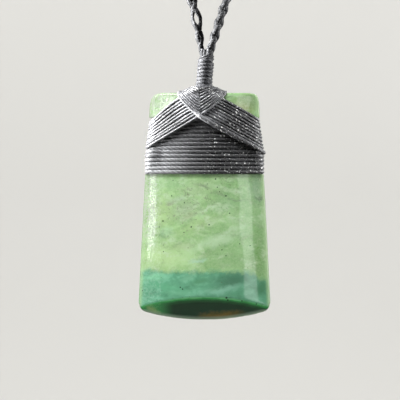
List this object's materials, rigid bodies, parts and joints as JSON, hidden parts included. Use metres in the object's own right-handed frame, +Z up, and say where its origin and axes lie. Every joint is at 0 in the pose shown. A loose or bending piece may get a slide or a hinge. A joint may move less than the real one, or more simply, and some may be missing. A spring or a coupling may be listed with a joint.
{
  "type": "toki adze pendant",
  "caption": "Adze-shaped green stone blade pendant with a bevelled cutting end, bound by crossed and level thread lashings to a looped, plaited neck cord.",
  "frame": {"origin": "underside of the plaited cord at the top of its loop, where it rests on the back of the neck", "axes": "+Z up, with the blade hanging below the origin; the bevelled front faces -Y; +X to the right seen from the front"},
  "size_m": [0.1336, 0.009, 0.3378],
  "materials": {
    "polished_nephrite": "polished",
    "binding_thread": "waxed",
    "plaited_cord": "waxed"
  },
  "bodies": {
    "root": {"toki_blade": "polished_nephrite", "band_whipping": "binding_thread", "cross_lashing": "binding_thread", "neck_whipping": "binding_thread", "cord_ends": "plaited_cord", "neck_plait": "plaited_cord"}
  },
  "joints": []
}
